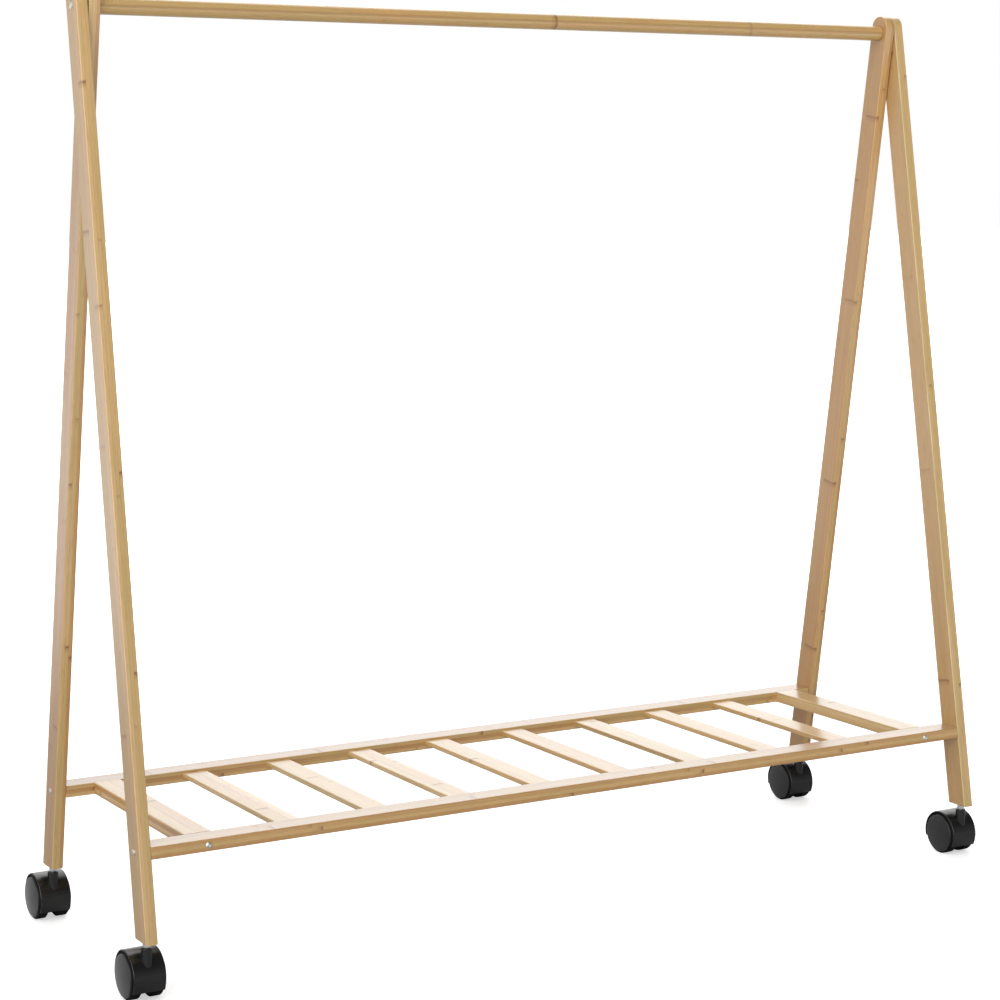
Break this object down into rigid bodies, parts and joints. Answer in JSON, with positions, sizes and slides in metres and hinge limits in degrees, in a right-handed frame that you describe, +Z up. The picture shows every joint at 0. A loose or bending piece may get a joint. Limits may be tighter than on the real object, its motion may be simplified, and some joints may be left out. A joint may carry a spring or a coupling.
{
  "type": "rolling clothes rack",
  "caption": "Free-standing bamboo clothes rack: crossed leg pairs, a round hanging rod, a low slatted shelf and hooded twin-wheel swivel casters.",
  "frame": {"origin": "middle of the rack's box, on the floor", "axes": "+X along the hanging rod, +Y from the front to the back, +Z up"},
  "size_m": [1.3536, 0.4462, 1.2505],
  "materials": {
    "bamboo": "satin lacquered bamboo",
    "steel": "zinc plated",
    "chrome": "polished",
    "hood_plastic": "glossy moulded",
    "wheel_plastic": "satin moulded nylon",
    "cap_plastic": "satin moulded",
    "washer_plastic": "plain"
  },
  "bodies": {
    "frame": {"front_left_leg": "bamboo", "front_right_leg": "bamboo", "back_left_leg": "bamboo", "back_right_leg": "bamboo", "hanging_rod": "bamboo", "front_rail": "bamboo", "back_rail": "bamboo", "left_end_bar": "bamboo", "right_end_bar": "bamboo", "shelf_slat_1": "bamboo", "shelf_slat_2": "bamboo", "shelf_slat_3": "bamboo", "shelf_slat_4": "bamboo", "shelf_slat_5": "bamboo", "shelf_slat_6": "bamboo", "shelf_slat_7": "bamboo", "shelf_slat_8": "bamboo", "top_bolts": "steel", "rail_bolts": "steel", "end_bar_screws": "steel", "pivot_washers": "washer_plastic", "rod_inserts": "steel", "rail_nuts": "steel", "slat_dowels": "bamboo", "stem_sockets": "steel", "front_left_caster_stem": "chrome", "front_right_caster_stem": "chrome", "back_left_caster_stem": "chrome", "back_right_caster_stem": "chrome"},
    "front_left_swivel": {"front_left_caster_hood": "hood_plastic", "front_left_caster_axle": "steel"},
    "front_left_left_wheel": {"front_left_caster_left_wheel": "wheel_plastic", "front_left_caster_left_cap": "cap_plastic"},
    "front_left_right_wheel": {"front_left_caster_right_wheel": "wheel_plastic", "front_left_caster_right_cap": "cap_plastic"},
    "front_right_swivel": {"front_right_caster_hood": "hood_plastic", "front_right_caster_axle": "steel"},
    "front_right_left_wheel": {"front_right_caster_left_wheel": "wheel_plastic", "front_right_caster_left_cap": "cap_plastic"},
    "front_right_right_wheel": {"front_right_caster_right_wheel": "wheel_plastic", "front_right_caster_right_cap": "cap_plastic"},
    "back_left_swivel": {"back_left_caster_hood": "hood_plastic", "back_left_caster_axle": "steel"},
    "back_left_left_wheel": {"back_left_caster_left_wheel": "wheel_plastic", "back_left_caster_left_cap": "cap_plastic"},
    "back_left_right_wheel": {"back_left_caster_right_wheel": "wheel_plastic", "back_left_caster_right_cap": "cap_plastic"},
    "back_right_swivel": {"back_right_caster_hood": "hood_plastic", "back_right_caster_axle": "steel"},
    "back_right_left_wheel": {"back_right_caster_left_wheel": "wheel_plastic", "back_right_caster_left_cap": "cap_plastic"},
    "back_right_right_wheel": {"back_right_caster_right_wheel": "wheel_plastic", "back_right_caster_right_cap": "cap_plastic"}
  },
  "joints": [
    {"name": "front_left_swivel_turn", "type": "hinge", "parent": "frame", "child": "front_left_swivel", "pos_m": [-0.651, -0.20541, 0.06], "axis": [0, 0, 1], "continuous": true},
    {"name": "front_left_left_wheel_roll", "type": "hinge", "parent": "front_left_swivel", "child": "front_left_left_wheel", "pos_m": [-0.651, -0.18361, 0.03], "axis": [1, 0, 0], "continuous": true},
    {"name": "front_left_right_wheel_roll", "type": "hinge", "parent": "front_left_swivel", "child": "front_left_right_wheel", "pos_m": [-0.651, -0.18361, 0.03], "axis": [1, 0, 0], "continuous": true},
    {"name": "front_right_swivel_turn", "type": "hinge", "parent": "frame", "child": "front_right_swivel", "pos_m": [0.651, -0.20541, 0.06], "axis": [0, 0, 1], "continuous": true},
    {"name": "front_right_left_wheel_roll", "type": "hinge", "parent": "front_right_swivel", "child": "front_right_left_wheel", "pos_m": [0.651, -0.18361, 0.03], "axis": [1, 0, 0], "continuous": true},
    {"name": "front_right_right_wheel_roll", "type": "hinge", "parent": "front_right_swivel", "child": "front_right_right_wheel", "pos_m": [0.651, -0.18361, 0.03], "axis": [1, 0, 0], "continuous": true},
    {"name": "back_left_swivel_turn", "type": "hinge", "parent": "frame", "child": "back_left_swivel", "pos_m": [-0.634, 0.16884, 0.06], "axis": [0, 0, 1], "continuous": true},
    {"name": "back_left_left_wheel_roll", "type": "hinge", "parent": "back_left_swivel", "child": "back_left_left_wheel", "pos_m": [-0.634, 0.19064, 0.03], "axis": [1, 0, 0], "continuous": true},
    {"name": "back_left_right_wheel_roll", "type": "hinge", "parent": "back_left_swivel", "child": "back_left_right_wheel", "pos_m": [-0.634, 0.19064, 0.03], "axis": [1, 0, 0], "continuous": true},
    {"name": "back_right_swivel_turn", "type": "hinge", "parent": "frame", "child": "back_right_swivel", "pos_m": [0.634, 0.16884, 0.06], "axis": [0, 0, 1], "continuous": true},
    {"name": "back_right_left_wheel_roll", "type": "hinge", "parent": "back_right_swivel", "child": "back_right_left_wheel", "pos_m": [0.634, 0.19064, 0.03], "axis": [1, 0, 0], "continuous": true},
    {"name": "back_right_right_wheel_roll", "type": "hinge", "parent": "back_right_swivel", "child": "back_right_right_wheel", "pos_m": [0.634, 0.19064, 0.03], "axis": [1, 0, 0], "continuous": true}
  ]
}
